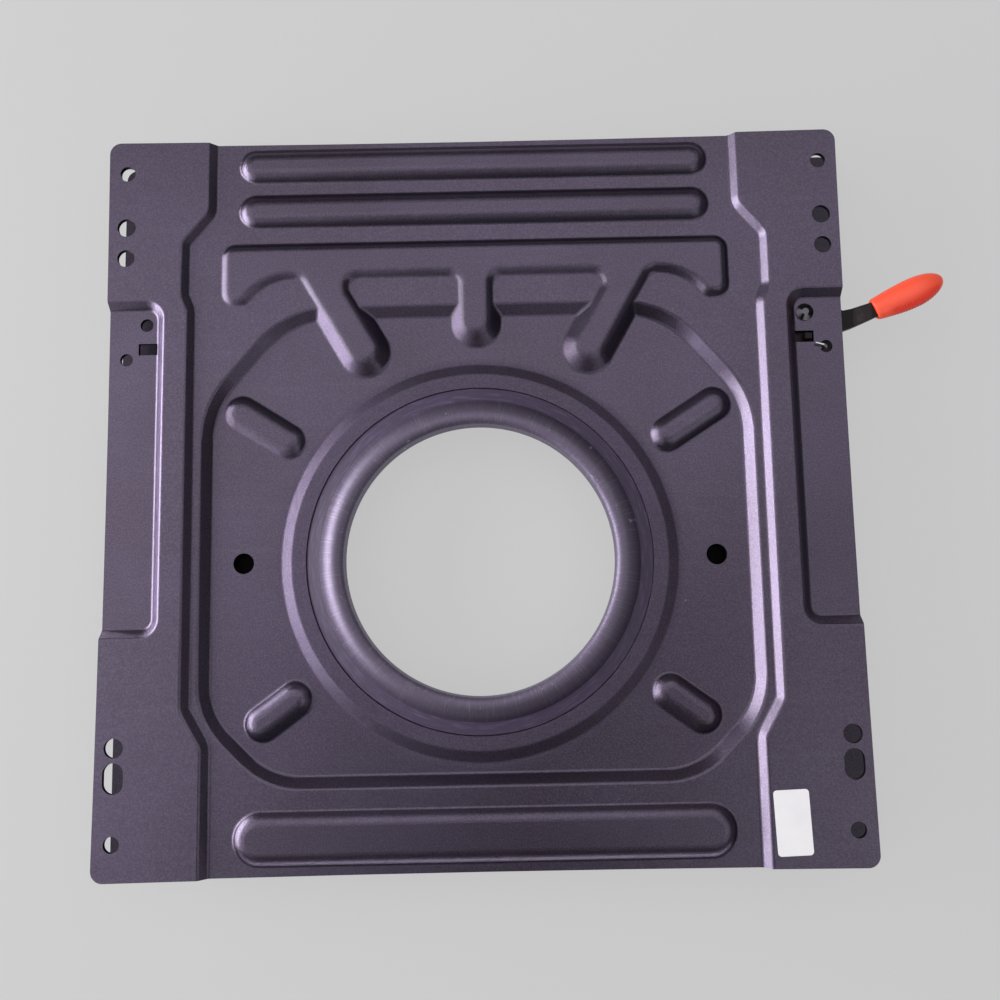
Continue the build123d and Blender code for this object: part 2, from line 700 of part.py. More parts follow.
# Grip moulded over the end of the handle arm
grip_middle = (lever_bottom + lever_top) / 2 + arm_rise
arm_root_y = (arm_rise_end_rear + arm_rise_end_front) / 2
arm_lean = atan2((arm_tip_rear + arm_tip_front) / 2 - arm_root_y, arm_tip_x - arm_rise_end)
grip_plane = Plane(origin=(arm_rise_end + grip_setback, arm_root_y + grip_setback * tan(arm_lean),
                           grip_middle), x_dir=(cos(arm_lean), sin(arm_lean), 0))
grip_side = grip_half_thickness - grip_edge_drop
grip_taper = degrees(atan2(grip_edge, grip_edge_drop))
with BuildPart() as lever_grip:
    for level, inset, depth, taper in ((grip_side, 0, grip_side, 0),
                                       (grip_half_thickness, grip_edge, grip_edge_drop, -grip_taper)):
        with BuildSketch(grip_plane.offset(level)) as grip_plan:
            with BuildLine():
                Polyline((0, grip_root_half), (grip_widest, grip_half_width), (grip_length, grip_tip_half),
                         (grip_length, -grip_tip_half), (grip_widest, -grip_half_width),
                         (0, -grip_root_half), close=True)
            make_face()
            fillet(grip_plan.vertices().group_by(Axis.X)[-1], radius=grip_tip_round)
            fillet(grip_plan.vertices().group_by(Axis.X)[1], radius=grip_side_round)
            if inset:
                offset(amount=-inset)
        extrude(amount=-depth, taper=taper)
    mirror(about=grip_plane)
    add(lever.part, mode=Mode.SUBTRACT)
lever_grip.part.label = "lever_grip"
export_step(lever_grip.part, "parts/lever_grip.step")

# Return spring: a hairpin looped round the rivet, one leg hooked through the plate, one on the lever
loop_level = foot_top + (wire + run_gap) / 2
hook_level = pocket_top + wire / 2
hook_share = hook_reach / hypot(hook_x - anchor_x, hook_y - anchor_y)
pin_x = latch_arm_outer + wire / 2 + run_gap
plate_leg_angle = degrees(atan2(anchor_y - pivot_y, anchor_x - pivot_x)
                          + acos(loop_radius / hypot(anchor_x - pivot_x, anchor_y - pivot_y)))
lever_leg_angle = degrees(atan2(pin_y - pivot_y, pin_x - pivot_x)
                          - acos(loop_radius / hypot(pin_x - pivot_x, pin_y - pivot_y)))
with BuildPart() as return_spring:
    with BuildLine(Plane.XY.offset(loop_level)) as loop:
        CenterArc((pivot_x, pivot_y), loop_radius, plate_leg_angle,
                  (lever_leg_angle - plate_leg_angle) % 360)
    with BuildLine() as plate_leg:
        FilletPolyline(tuple(loop.line @ 0), (anchor_x, anchor_y, loop_level),
                       (anchor_x, anchor_y, hook_level),
                       (anchor_x + hook_share * (hook_x - anchor_x),
                        anchor_y + hook_share * (hook_y - anchor_y), hook_level), radius=leg_bend)
    with BuildLine() as lever_leg:
        FilletPolyline(tuple(loop.line @ 1), (pin_x, pin_y, loop_level),
                       (pin_x, pin_y, lever_top - wire / 2), radius=leg_bend)
    for path in (loop, plate_leg, lever_leg):
        with BuildSketch(Plane(origin=path.line @ 0, z_dir=path.line % 0)):
            RegularPolygon(wire / 2, wire_sides)
        sweep(path=path.line)
return_spring.part.label = "return_spring"
export_step(return_spring.part, "parts/return_spring.step")

# Label on the right flange
with BuildPart() as label:
    with BuildSketch(Plane.XY.offset(overall_height)):
        with Locations((label_x, label_y)):
            RectangleRounded(label_width, label_length, label_corner, rotation=label_turn)
    extrude(amount=label_thickness)
label.part.label = "label"
export_step(label.part, "parts/label.step")
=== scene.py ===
import math

import bpy
import numpy as np
from bpy.props import (FloatProperty, FloatVectorProperty, IntProperty, PointerProperty)
from mathutils import Matrix, Vector


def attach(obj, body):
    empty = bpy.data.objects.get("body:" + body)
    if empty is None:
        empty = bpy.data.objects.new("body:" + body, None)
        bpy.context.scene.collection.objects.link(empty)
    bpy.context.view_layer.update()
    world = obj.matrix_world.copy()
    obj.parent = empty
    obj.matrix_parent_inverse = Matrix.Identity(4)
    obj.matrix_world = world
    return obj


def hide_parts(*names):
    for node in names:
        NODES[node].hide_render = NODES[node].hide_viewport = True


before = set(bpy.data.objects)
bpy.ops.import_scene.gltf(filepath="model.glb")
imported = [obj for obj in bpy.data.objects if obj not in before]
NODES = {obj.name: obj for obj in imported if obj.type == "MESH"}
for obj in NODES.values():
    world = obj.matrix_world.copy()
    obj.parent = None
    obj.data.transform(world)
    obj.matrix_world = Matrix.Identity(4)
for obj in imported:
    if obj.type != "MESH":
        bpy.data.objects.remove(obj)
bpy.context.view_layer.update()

bl_info = {
    "name": "Swivel seat base",
    "version": (1, 0, 0),
    "blender": (4, 5, 0),
    "location": "View3D > Sidebar > Swivel base",
    "description": "Dresses a pressed steel seat swivel with coat, burnished hub, red grip and label",
    "category": "Object",
}

LEVEL = (1.0, 1.0, 0.0)                     # keeps the level part of a vector
WHITE = (1.0, 1.0, 1.0, 1.0)
GRIP_LAYOUT = "along_round"                 # UV layer of the grip: share of its length, share of a turn

GRIP_HEADING = math.radians(23.9)           # the grip's axis, from +X towards +Y
GRIP_TIP = (0.28159, 0.16316, 0.03495)

PART_MIDDLE = (0.0, 0.02, 0.03)
LAMPS = (
    # name, property with its power, share of it, place, width, height, point that it faces
    ("window", "window", 1.0, (-1.35, 0.10, 0.42), 1.5, 0.75, PART_MIDDLE),
    ("ceiling", "ceiling", 1.0, (-0.10, 0.61, 1.61), 3.0, 1.36, PART_MIDDLE),
    ("corner_left", "corner", 0.9, (-0.80, -0.50, 1.25), 0.8, 0.8, PART_MIDDLE),
    ("corner_right", "corner", 1.0, (0.80, -0.45, 1.25), 0.8, 0.8, PART_MIDDLE),
    ("bounce", "bounce", 1.0, (-0.64, 0.03, 0.01), 0.6, 0.8, (-0.64, 0.03, 1.0)),
    ("apron", "apron", 1.0, (0.0, -0.60, 0.01), 0.9, 0.5, (0.0, -0.60, 1.0)),
)


def color_prop(name, description, default):
    """A colour of the surface, as linear red, green and blue."""
    return FloatVectorProperty(name=name, description=description, default=default, size=3,
                               subtype="COLOR", min=0.0, max=1.0)


def length_prop(name, description, default):
    """A length in metres."""
    return FloatProperty(name=name, description=description, default=default, min=0.0, unit="LENGTH",
                         precision=5)


def share_prop(name, description, default):
    """A share from 0 to 1."""
    return FloatProperty(name=name, description=description, default=default, min=0.0, max=1.0,
                         subtype="FACTOR")


def count_prop(name, description, default):
    """A count of one or more."""
    return IntProperty(name=name, description=description, default=default, min=1)


def point_prop(name, description, default):
    """A point in metres."""
    return FloatVectorProperty(name=name, description=description, default=default, size=3,
                               unit="LENGTH", subtype="XYZ", precision=5)


def power_prop(name, description, default):
    """The power of a light in watts."""
    return FloatProperty(name=name, description=description, default=default, min=0.0, unit="POWER")


class CoatProps(bpy.types.PropertyGroup):
    """The satin coat of the two pressed plates."""
    color: color_prop("Coat", "Body colour of the coat", (0.112, 0.088, 0.146))
    drift: color_prop("Coat drift", "Warmer tone that the coat drifts to in broad patches",
                      (0.100, 0.075, 0.122))
    rub: color_prop("Rubbed edge", "Tone of bends and edges where the coat is rubbed thin",
                    (0.30, 0.28, 0.34))
    dust: color_prop("Dust", "Tone of dry dust on flat faces", (0.42, 0.40, 0.44))
    # painted shade: near-black tone on the lower plate's table, which lies in shade under the upper plate
    painted_table_shade: color_prop("Grease", "Tone of the grease on the lower plate's table", (0.004, 0.0035, 0.004))
    glint: color_prop("Glint", "Tint of the coat's shine at a flat angle", (0.30, 0.28, 0.34))
    metallic: share_prop("Metallic", "How far the coat shines like metal", 0.96)
    roughness: share_prop("Roughness", "Gloss of the clean coat", 0.30)
    grain: length_prop("Grain", "Size of the coat's grain", 0.0009)


class HubProps(bpy.types.PropertyGroup):
    """The rolled hub ring and the slide rings."""
    color: color_prop("Hub", "Colour of the rolled lip", (0.19, 0.157, 0.235))
    bright: color_prop("Bright marks", "Colour of marks burnished by the rolling tool",
                       (0.52, 0.49, 0.57))
    roughness: share_prop("Roughness", "Gloss of the rolled lip", 0.50)
    marks: count_prop("Tool marks", "Marks round the lip", 900)
    plastic: color_prop("Slide ring", "Colour of the slide rings", (0.058, 0.043, 0.080))


class GripProps(bpy.types.PropertyGroup):
    """The lever's coat and its red grip."""
    lever: color_prop("Lever", "Colour of the lever's coat", (0.010, 0.006, 0.007))
    bare: color_prop("Lever edge", "Tone of the lever's bends where its coat is thin", (0.16, 0.14, 0.15))
    color: color_prop("Grip", "Colour of the moulded grip", (0.93, 0.085, 0.036))
    # painted shade: darker red for the grip's lower flank, which lies in shade
    flank_shade: color_prop("Grip flank", "Deeper colour along the ribbed flank", (0.80, 0.034, 0.012))
    pale: color_prop("Grip grain", "Paler colour on the moulded grain", (0.90, 0.16, 0.10))
    length: length_prop("Length", "Length of the grip along its axis", 0.0466)
    half_width: length_prop("Half width", "Widest half width of the grip", 0.0090)
    half_depth: length_prop("Half depth", "Largest half thickness of the grip", 0.0056)
    ribs: count_prop("Ribs", "Fine ribs along the grip's flank", 26)


class HardwareProps(bpy.types.PropertyGroup):
    """Rivet, washers, spring and label."""
    zinc: color_prop("Zinc", "Colour of the plated rivet and washers", (0.15, 0.136, 0.164))
    zinc_roughness: share_prop("Zinc roughness", "Gloss of the rivet and washers", 0.16)
    wire: color_prop("Spring", "Colour of the spring wire", (0.85, 0.84, 0.87))
    wire_roughness: share_prop("Spring roughness", "Gloss of the spring wire", 0.22)
    label: color_prop("Label", "Colour of the blank label", (0.83, 0.805, 0.84))
    worn: color_prop("Label wear", "Greyer tone in patches of the label", (0.72, 0.70, 0.74))
    specks: color_prop("Label specks", "Colour of the specks on the label", (0.35, 0.33, 0.36))


class StageProps(bpy.types.PropertyGroup):
    """Camera, lights and floor."""
    eye: point_prop("Eye", "Place of the camera", (0.01199, -0.03305, 0.60060))
    target: point_prop("Target", "Point that the camera looks at", (0.01229, 0.03341, 0.04000))
    roll: FloatProperty(name="Roll", description="Turn of the camera about its view", subtype="ANGLE",
                        default=math.radians(-1.18))
    lens: FloatProperty(name="Lens", description="Focal length on the sensor, in mm", default=34.92,
                        min=1.0)
    sensor: FloatProperty(name="Sensor", description="Width of the sensor, in mm", default=36.0, min=1.0)
    floor: color_prop("Floor", "Colour of the pale floor", (0.604, 0.604, 0.604))
    fleck: color_prop("Floor grain", "Darker tone of the floor's grain", (0.55, 0.55, 0.55))
    dim: color_prop("Floor bounce", "Colour of the floor for the light that it throws back",
                    (0.07, 0.07, 0.07))
    window: power_prop("Window", "Power of the large soft light on the left", 33.0)
    ceiling: power_prop("Ceiling", "Power of the soft light overhead", 11.4)
    corner: power_prop("Corners", "Power of the soft lights over the front corners", 1.95)
    bounce: power_prop("Bounce", "Power of the low card on the left", 21.0)
    apron: power_prop("Apron", "Power of the low card in front", 7.5)
    sky: FloatProperty(name="Sky", description="Strength of the even surrounding light", default=0.42,
                       min=0.0)


class SwivelBaseProps(bpy.types.PropertyGroup):
    """All that can be set on the swivel base."""
    coat: PointerProperty(type=CoatProps)
    hub: PointerProperty(type=HubProps)
    grip: PointerProperty(type=GripProps)
    hardware: PointerProperty(type=HardwareProps)
    stage: PointerProperty(type=StageProps)


def add_node(tree, kind, values=None, **settings):
    """A node with its settings, and its unlinked sockets set by name or number."""
    made = tree.nodes.new(kind)
    for name, value in settings.items():
        setattr(made, name, value)
    for socket, value in (values or {}).items():
        made.inputs[socket].default_value = value
    return made


def feed(tree, source, socket):
    """Links a socket to an input, or sets the input to a number or tuple."""
    if isinstance(source, bpy.types.NodeSocket):
        tree.links.new(source, socket)
    else:
        socket.default_value = source


def math_node(tree, operation, first, second=0.0):
    """A Math node; each operand is a socket or a number."""
    made = add_node(tree, "ShaderNodeMath", operation=operation)
    feed(tree, first, made.inputs[0])
    feed(tree, second, made.inputs[1])
    return made.outputs[0]


def product(tree, first, *others):
    """The product of sockets and numbers."""
    for factor in others:
        first = math_node(tree, "MULTIPLY", first, factor)
    return first


def raised(tree, base, value, share):
    """A base, raised by a share of a value."""
    return math_node(tree, "ADD", base, product(tree, value, share))


def largest(tree, first, *others):
    """The largest of some sockets."""
    for other in others:
        first = math_node(tree, "MAXIMUM", first, other)
    return first


def vector_node(tree, operation, first, second=None, scale=None):
    """A Vector Math node on sockets or tuples; scale is a socket or a number."""
    made = add_node(tree, "ShaderNodeVectorMath", operation=operation)
    for name, operand in ((0, first), (1, second), ("Scale", scale)):
        if operand is not None:
            feed(tree, operand, made.inputs[name])
    return made.outputs["Value" if operation in ("LENGTH", "DOT_PRODUCT") else "Vector"]


def split(tree, vector):
    """The X, Y and Z of a vector, by name."""
    made = tree.nodes.new("ShaderNodeSeparateXYZ")
    tree.links.new(vector, made.inputs[0])
    return made.outputs


def ramp_node(tree, value, low, high):
    """Smooth step of a value from 0 at low to 1 at high."""
    made = add_node(tree, "ShaderNodeMapRange", {"From Min": low, "From Max": high},
                    interpolation_type="SMOOTHSTEP")
    tree.links.new(value, made.inputs["Value"])
    return made.outputs["Result"]


def band_node(tree, value, rise, fall):
    """A mask that rises over one span of a value and falls over another; a span is where from, where to."""
    return product(tree, ramp_node(tree, value, *rise), ramp_node(tree, value, *fall))


def noise_node(tree, vector, scale, detail, roughness=0.5):
    """A noise at a vector; its scale is a socket or a number."""
    made = add_node(tree, "ShaderNodeTexNoise", {"Detail": detail, "Roughness": roughness})
    tree.links.new(vector, made.inputs["Vector"])
    feed(tree, scale, made.inputs["Scale"])
    return made.outputs[0]


def mix_color(tree, share, first, second):
    """A colour between two; each colour is a socket or red, green and blue."""
    made = add_node(tree, "ShaderNodeMix", data_type="RGBA")
    factor, color_a, color_b, result = made.inputs[0], made.inputs[6], made.inputs[7], made.outputs[2]
    tree.links.new(share, factor)
    for source, socket in ((first, color_a), (second, color_b)):
        feed(tree, source if isinstance(source, bpy.types.NodeSocket) else (*source, 1.0), socket)
    return result


def shaded(color, share):
    """A colour, darkened or lightened by a share."""
    return tuple(part * share for part in color)


def new_group(name, inputs, outputs):
    """An empty node group: a Vector and named numbers in, named numbers or a Normal out."""
    tree = bpy.data.node_groups.new(name, "ShaderNodeTree")
    tree.interface.new_socket("Vector", in_out="INPUT", socket_type="NodeSocketVector")
    for label, default in inputs:
        socket = tree.interface.new_socket(label, in_out="INPUT", socket_type="NodeSocketFloat")
        socket.default_value = default
    for label in outputs:
        kind = "NodeSocketVector" if label == "Normal" else "NodeSocketFloat"
        tree.interface.new_socket(label, in_out="OUTPUT", socket_type=kind)
    return tree, tree.nodes.new("NodeGroupInput").outputs, tree.nodes.new("NodeGroupOutput").inputs


def grain_group():
    """Fine grain: two noises, one at the grain's size and one three times finer."""
    finer, coarse_share, fine_share = 3.0, 0.6, 0.4
    mask_span = (0.42, 0.62)
    tree, given, out = new_group("fine_grain", [("Size", 0.001)], ["Height", "Mask"])
    scale = math_node(tree, "DIVIDE", 1.0, given["Size"])
    coarse = noise_node(tree, given["Vector"], scale, detail=3.0, roughness=0.6)
    fine = noise_node(tree, given["Vector"], product(tree, scale, finer), detail=2.0, roughness=0.7)
    height = raised(tree, product(tree, coarse, coarse_share), fine, fine_share)
    tree.links.new(height, out["Height"])
    tree.links.new(ramp_node(tree, height, *mask_span), out["Mask"])


def soiling_group():
    """Dust and smears: broad patches, drawn-out wipe marks and sparse specks."""
    patch_span, wipe_span, speck_span = (0.35, 0.7), (0.5, 0.75), (0.012, 0.006)
    wipe_turn, wipe_stretch = (0.0, 0.0, 0.5), (1.0, 9.0, 1.0)
    wipe_finer, speck_finer = 1.6, 1.7
    tree, given, out = new_group("soiling", [("Size", 0.05)], ["Patches", "Wipes", "Specks"])
    scale = math_node(tree, "DIVIDE", 1.0, given["Size"])
    broad = noise_node(tree, given["Vector"], scale, detail=4.0, roughness=0.55)
    tree.links.new(ramp_node(tree, broad, *patch_span), out["Patches"])
    drawn = add_node(tree, "ShaderNodeMapping", {"Rotation": wipe_turn, "Scale": wipe_stretch})
    tree.links.new(given["Vector"], drawn.inputs["Vector"])
    wipe = noise_node(tree, drawn.outputs[0], product(tree, scale, wipe_finer), detail=5.0, roughness=0.65)
    tree.links.new(ramp_node(tree, wipe, *wipe_span), out["Wipes"])
    specks = add_node(tree, "ShaderNodeTexVoronoi", {"Randomness": 1.0})
    tree.links.new(given["Vector"], specks.inputs["Vector"])
    tree.links.new(product(tree, scale, speck_finer), specks.inputs["Scale"])
    tree.links.new(ramp_node(tree, specks.outputs["Distance"], *speck_span), out["Specks"])


def rub_group():
    """Rubbed bends: bends and cut edges by the slope of the surface, broken up by noise of the given size."""
    bend_rise, bend_fall, cut_span, noise_span = (0.74, 0.86), (0.995, 0.93), (0.25, 0.05), (0.45, 0.7)
    tree, given, out = new_group("rubbed_bends", [("Size", 0.012)], ["Mask"])
    normal = tree.nodes.new("ShaderNodeNewGeometry").outputs["True Normal"]
    upright = math_node(tree, "ABSOLUTE", split(tree, normal)["Z"])
    bend = band_node(tree, upright, bend_rise, bend_fall)
    cut = ramp_node(tree, upright, *cut_span)
    scale = math_node(tree, "DIVIDE", 1.0, given["Size"])
    noise = noise_node(tree, given["Vector"], scale, detail=5.0, roughness=0.7)
    worn = product(tree, largest(tree, bend, cut), ramp_node(tree, noise, *noise_span))
    tree.links.new(worn, out["Mask"])


def streak_group():
    """Streaks across a ring: noise on a circle, stretched along the radius and the axis."""
    tree, given, out = new_group("ring_streaks", [("Count", 900.0), ("Reach", 90.0)], ["Streaks"])
    parts = split(tree, given["Vector"])
    angle = math_node(tree, "ARCTAN2", parts["Y"], parts["X"])
    radius = vector_node(tree, "LENGTH", vector_node(tree, "MULTIPLY", given["Vector"], LEVEL))
    wheel = math_node(tree, "DIVIDE", given["Count"], 2.0 * math.pi)
    along = math_node(tree, "ADD", radius, parts["Z"])
    spot = tree.nodes.new("ShaderNodeCombineXYZ")
    tree.links.new(product(tree, math_node(tree, "COSINE", angle), wheel), spot.inputs["X"])
    tree.links.new(product(tree, math_node(tree, "SINE", angle), wheel), spot.inputs["Y"])
    tree.links.new(product(tree, along, given["Reach"]), spot.inputs["Z"])
    tree.links.new(noise_node(tree, spot.outputs[0], 1.0, detail=2.0, roughness=0.6), out["Streaks"])


def dish_group():
    """The surface normal, leant outwards from the swivel axis, as on a slightly dished ring."""
    tree, given, out = new_group("dished_ring", [("Lean", 0.35)], ["Normal"])
    facing = tree.nodes.new("ShaderNodeNewGeometry").outputs["Normal"]
    flat = vector_node(tree, "MULTIPLY", given["Vector"], LEVEL)
    turn = add_node(tree, "ShaderNodeVectorTransform", vector_type="VECTOR", convert_from="OBJECT",
                    convert_to="WORLD")
    tree.links.new(vector_node(tree, "NORMALIZE", flat), turn.inputs[0])
    leant = vector_node(tree, "SCALE", turn.outputs[0], scale=given["Lean"])
    total = vector_node(tree, "ADD", facing, leant)
    tree.links.new(vector_node(tree, "NORMALIZE", total), out["Normal"])


def group_in(tree, name, vector, **values):
    """Places a shared effect in a material with its own values, and gives its outputs by name."""
    made = add_node(tree, "ShaderNodeGroup", values, node_tree=bpy.data.node_groups[name])
    tree.links.new(vector, made.inputs["Vector"])
    return made.outputs


def new_material(name, **sockets):
    """A material with a Principled BSDF, its sockets set, and Object coordinates."""
    made = bpy.data.materials.new(name)
    made.use_nodes = True
    tree = made.node_tree
    shader = tree.nodes["Principled BSDF"]
    for socket, value in sockets.items():
        shader.inputs[socket.replace("_", " ")].default_value = value
    place = tree.nodes.new("ShaderNodeTexCoord")
    return made, tree, shader, place.outputs["Object"]


def bump_node(tree, height, distance, strength, under=None):
    """A normal with a height in it, over another normal if one is given."""
    made = add_node(tree, "ShaderNodeBump", {"Distance": distance, "Strength": strength})
    tree.links.new(height, made.inputs["Height"])
    if under:
        tree.links.new(under, made.inputs["Normal"])
    return made.outputs[0]


def finish_shader(tree, shader, tone, gloss, normal):
    """Feeds colour, roughness and normal into the shader."""
    tree.links.new(tone, shader.inputs["Base Color"])
    tree.links.new(gloss, shader.inputs["Roughness"])
    tree.links.new(normal, shader.inputs["Normal"])


def plate_coat(props, name, shade, paints_table_shade):
    """Satin coat: drift of tone, grain, rubbed bends, wipe marks; painted shade by a shade below 1 and on a
    table.
    """
    soil_size, rub_size, sag_scale = 0.09, 0.010, 14.0
    grain_share, rub_share, wipe_share, speck_share = 0.14, 0.10, 0.03, 0.5
    film_dulls, grain_dulls, patch_dulls = 0.25, 0.10, 0.10
    clear_weight, clear_roughness, film_on_clear = 0.30, 0.26, 0.3
    grain_depth, sag_depth, sag_strength = 0.00014, 0.0012, 0.35
    made, tree, shader, place = new_material(name, Metallic=props.metallic, Coat_Roughness=clear_roughness,
                                             Specular_Tint=(*props.glint, 1.0))
    grain = group_in(tree, "fine_grain", place, Size=props.grain)
    soil = group_in(tree, "soiling", place, Size=soil_size)
    rub = group_in(tree, "rubbed_bends", place, Size=rub_size)
    # painted shade: a shade below 1 darkens this coat's tones, for the lower plate lying in shade
    tone = mix_color(tree, soil["Patches"], shaded(props.color, shade), shaded(props.drift, shade))
    tone = mix_color(tree, product(tree, grain["Mask"], grain_share * shade), tone, props.dust)
    tone = mix_color(tree, product(tree, rub["Mask"], rub_share), tone, props.rub)
    film = largest(tree, product(tree, soil["Wipes"], wipe_share * shade),
                   product(tree, soil["Specks"], speck_share))
    tone = mix_color(tree, film, tone, props.dust)
    # painted shade: the table under the upper plate goes near-black, so the holes above it look dark
    if paints_table_shade:
        dull = table_shade_mask(tree, place)
        tone = mix_color(tree, dull, tone, props.painted_table_shade)
    else:
        dull = drawn_ring(tree, place)
    gloss = raised(tree, props.roughness, film, film_dulls)
    gloss = raised(tree, gloss, grain["Height"], grain_dulls)
    gloss = raised(tree, gloss, dull, patch_dulls)
    clear = math_node(tree, "SUBTRACT", clear_weight, product(tree, film, film_on_clear))
    tree.links.new(product(tree, clear, math_node(tree, "SUBTRACT", 1.0, dull)), shader.inputs["Coat Weight"])
    wavy = bump_node(tree, noise_node(tree, place, sag_scale, detail=1.0), sag_depth, sag_strength,
                     None if paints_table_shade else eased_normal(tree, place))
    finish_shader(tree, shader, tone, gloss, bump_node(tree, grain["Height"], grain_depth, 1.0, wavy))
    return made


def drawn_ring(tree, place):
    """Mask of the ring drawn round the hub, where the coat lies duller."""
    foot_span = (0.122, 0.117)
    reach = vector_node(tree, "LENGTH", vector_node(tree, "MULTIPLY", place, LEVEL))
    return ramp_node(tree, reach, *foot_span)


def comb_flanks(tree, place):
    """Mask of the comb's flanks that face forwards and left, which sweep softly into the panel."""
    left_span, right_span = (-0.185, -0.178), (0.090, 0.080)
    front_span, rear_span = (0.045, 0.055), (0.190, 0.184)
    forwards_left, facing_span = (-0.6, -0.8, 0.0), (-0.14, 0.24)
    parts = split(tree, place)
    across = band_node(tree, parts["X"], left_span, right_span)
    along = band_node(tree, parts["Y"], front_span, rear_span)
    normal = tree.nodes.new("ShaderNodeTexCoord").outputs["Normal"]
    facing = vector_node(tree, "DOT_PRODUCT", normal, forwards_left)
    return product(tree, across, along, ramp_node(tree, facing, *facing_span))


def table_shade_mask(tree, place):
    """Mask of the painted shade on the raised table, by height."""
    foot_span = (0.012, 0.018)
    return ramp_node(tree, split(tree, place)["Z"], *foot_span)


def eased_normal(tree, place):
    """The surface normal, eased towards the upright where ring and comb sweep softly into the sheet."""
    ring_ease, comb_ease = 0.38, 0.46
    facing = tree.nodes.new("ShaderNodeNewGeometry").outputs["Normal"]
    upright = tree.nodes.new("ShaderNodeCombineXYZ")
    tree.links.new(math_node(tree, "SIGN", split(tree, facing)["Z"]), upright.inputs["Z"])
    share = largest(tree, product(tree, drawn_ring(tree, place), ring_ease),
                    product(tree, comb_flanks(tree, place), comb_ease))
    lean = vector_node(tree, "SCALE", upright.outputs[0], scale=share)
    keep = vector_node(tree, "SCALE", facing, scale=math_node(tree, "SUBTRACT", 1.0, share))
    return vector_node(tree, "NORMALIZE", vector_node(tree, "ADD", lean, keep))


def hub_steel(props):
    """Rolled lip: streaks left by the rolling tool, a few bright nicks and a rubbed crest."""
    streak_reach, nick_count, nick_reach, lip_lean, grain_size = 90.0, 130.0, 260.0, 0.44, 0.0007
    streak_span, nick_span, crest_span = (0.52, 0.72), (0.70, 0.74), (0.0375, 0.0394)
    streak_share, crest_share, grain_shade = 0.24, 0.05, 0.8
    nick_gloss, grain_dulls, mark_depth, mark_strength = 0.12, 0.08, 0.00008, 0.6
    made, tree, shader, place = new_material("hub_steel", Metallic=0.85)
    streak = group_in(tree, "ring_streaks", place, Count=props.marks, Reach=streak_reach)["Streaks"]
    nick = group_in(tree, "ring_streaks", place, Count=nick_count, Reach=nick_reach)["Streaks"]
    dish = group_in(tree, "dished_ring", place, Lean=lip_lean)
    grain = group_in(tree, "fine_grain", place, Size=grain_size)
    marks = product(tree, ramp_node(tree, streak, *streak_span), streak_share)
    nicks = ramp_node(tree, nick, *nick_span)
    crest = product(tree, ramp_node(tree, split(tree, place)["Z"], *crest_span), crest_share)
    tone = mix_color(tree, grain["Mask"], props.color, shaded(props.color, grain_shade))
    tone = mix_color(tree, largest(tree, marks, crest, nicks), tone, props.bright)
    gloss = math_node(tree, "SUBTRACT", props.roughness, product(tree, nicks, nick_gloss))
    gloss = raised(tree, gloss, grain["Height"], grain_dulls)
    relief = math_node(tree, "SUBTRACT", streak, nicks)
    finish_shader(tree, shader, tone, gloss,
                  bump_node(tree, relief, mark_depth, mark_strength, dish["Normal"]))
    return made


def slide_plastic(props):
    """Dark slide ring with a dull, slightly scuffed face."""
    grain_size, scuff_count, scuff_reach, lean = 0.0006, 60.0, 900.0, 0.35
    scuff_span, scuff_shade = (0.45, 0.75), 1.6
    roughness, grain_dulls, grain_depth, grain_strength = 0.42, 0.2, 0.00005, 0.6
    made, tree, shader, place = new_material("slide_plastic", Specular_IOR_Level=0.3)
    grain = group_in(tree, "fine_grain", place, Size=grain_size)
    scuff = group_in(tree, "ring_streaks", place, Count=scuff_count, Reach=scuff_reach)["Streaks"]
    dish = group_in(tree, "dished_ring", place, Lean=lean)
    tone = mix_color(tree, ramp_node(tree, scuff, *scuff_span), props.plastic,
                     shaded(props.plastic, scuff_shade))
    finish_shader(tree, shader, tone, raised(tree, roughness, grain["Height"], grain_dulls),
                  bump_node(tree, grain["Height"], grain_depth, grain_strength, dish["Normal"]))
    return made


def plated_steel(name, color, roughness):
    """Bright plated steel with fine handling grain and dull patches."""
    grain_size, soil_size, patch_share, patch_shade, patch_dulls = 0.0004, 0.006, 0.5, 0.55, 0.15
    grain_depth, grain_strength = 0.00004, 0.6
    made, tree, shader, place = new_material(name, Metallic=1.0)
    grain = group_in(tree, "fine_grain", place, Size=grain_size)
    soil = group_in(tree, "soiling", place, Size=soil_size)
    tone = mix_color(tree, product(tree, soil["Patches"], patch_share), color, shaded(color, patch_shade))
    finish_shader(tree, shader, tone, raised(tree, roughness, soil["Patches"], patch_dulls),
                  bump_node(tree, grain["Height"], grain_depth, grain_strength))
    return made


def lever_coat(props):
    """Black coat of the lever, thin at its bends and edges."""
    grain_size, rub_size, rub_share = 0.0008, 0.006, 0.10
    roughness, grain_dulls, grain_depth, grain_strength = 0.30, 0.2, 0.00006, 0.7
    made, tree, shader, place = new_material("lever_coat", Specular_IOR_Level=0.22)
    grain = group_in(tree, "fine_grain", place, Size=grain_size)
    rub = group_in(tree, "rubbed_bends", place, Size=rub_size)
    tone = mix_color(tree, product(tree, rub["Mask"], rub_share), props.lever, props.bare)
    finish_shader(tree, shader, tone, raised(tree, roughness, grain["Height"], grain_dulls),
                  bump_node(tree, grain["Height"], grain_depth, grain_strength))
    return made


